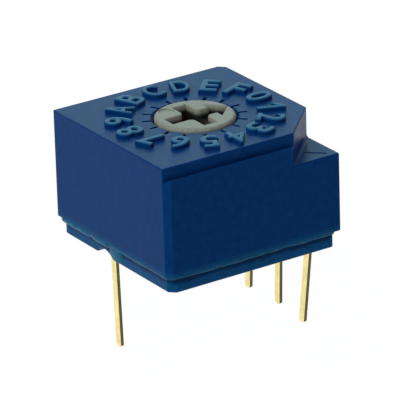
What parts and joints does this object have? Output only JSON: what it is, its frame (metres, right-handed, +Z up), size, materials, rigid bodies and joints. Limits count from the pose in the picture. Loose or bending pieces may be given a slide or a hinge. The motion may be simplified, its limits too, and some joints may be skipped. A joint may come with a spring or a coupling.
{
  "type": "rotary dip switch",
  "caption": "Square board-mounted rotary coded switch with a slotted knob, a hexadecimal dial and gold pins in a 4:1 layout.",
  "frame": {"origin": "middle of the base underside, on the plane of the circuit board", "axes": "+Z up out of the dial, +X towards dial position 0 and the row of four pins, +Y towards position C"},
  "size_m": [0.01, 0.01, 0.0118],
  "materials": {
    "housing_plastic": "smooth moulded, slight sheen",
    "base_plastic": "smooth moulded",
    "rotor_plastic": "smooth moulded, matt",
    "seal_rubber": "soft",
    "insulator": "matt",
    "gold_plate": "gold plated",
    "spring_steel": "bright rolled",
    "gold_pin": "gold plated, bright",
    "sealing_resin": "cured resin, glossy"
  },
  "bodies": {
    "case": {"housing": "housing_plastic", "base": "base_plastic", "epoxy_seal": "sealing_resin", "detent_spring": "spring_steel", "terminal_common": "gold_pin", "terminal_1": "gold_pin", "terminal_2": "gold_pin", "terminal_4": "gold_pin", "terminal_8": "gold_pin"},
    "rotor": {"rotor": "rotor_plastic", "o_ring": "seal_rubber", "code_disc": "insulator", "code_plate": "gold_plate"}
  },
  "joints": [
    {"name": "rotor_turn", "type": "hinge", "parent": "case", "child": "rotor", "pos_m": [0, 0, 0.004], "axis": [0, 0, 1], "continuous": true, "deforming": ["detent_spring"]}
  ]
}
